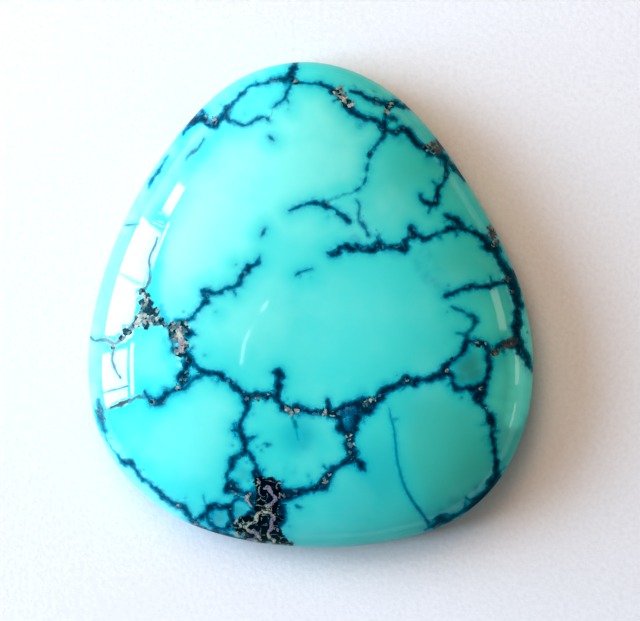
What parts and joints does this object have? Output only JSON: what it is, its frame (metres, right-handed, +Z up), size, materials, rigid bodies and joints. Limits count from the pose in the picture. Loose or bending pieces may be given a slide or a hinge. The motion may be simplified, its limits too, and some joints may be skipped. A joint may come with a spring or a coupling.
{
  "type": "polished free-form turquoise cabochon",
  "caption": "Loose polished turquoise stone with a rounded triangular outline, a gently domed face, dark spider-web matrix veins and a flat back.",
  "frame": {"origin": "middle of the stone's bounding box seen from above, at the height of its flat back", "axes": "+Z up through the dome, +Y along the stone's long side towards its narrow end, +X across its width"},
  "size_m": [0.03, 0.0326, 0.0066],
  "materials": {
    "turquoise": "polished, with dark matrix veins"
  },
  "bodies": {
    "root": {"turquoise_stone": "turquoise"}
  },
  "joints": []
}
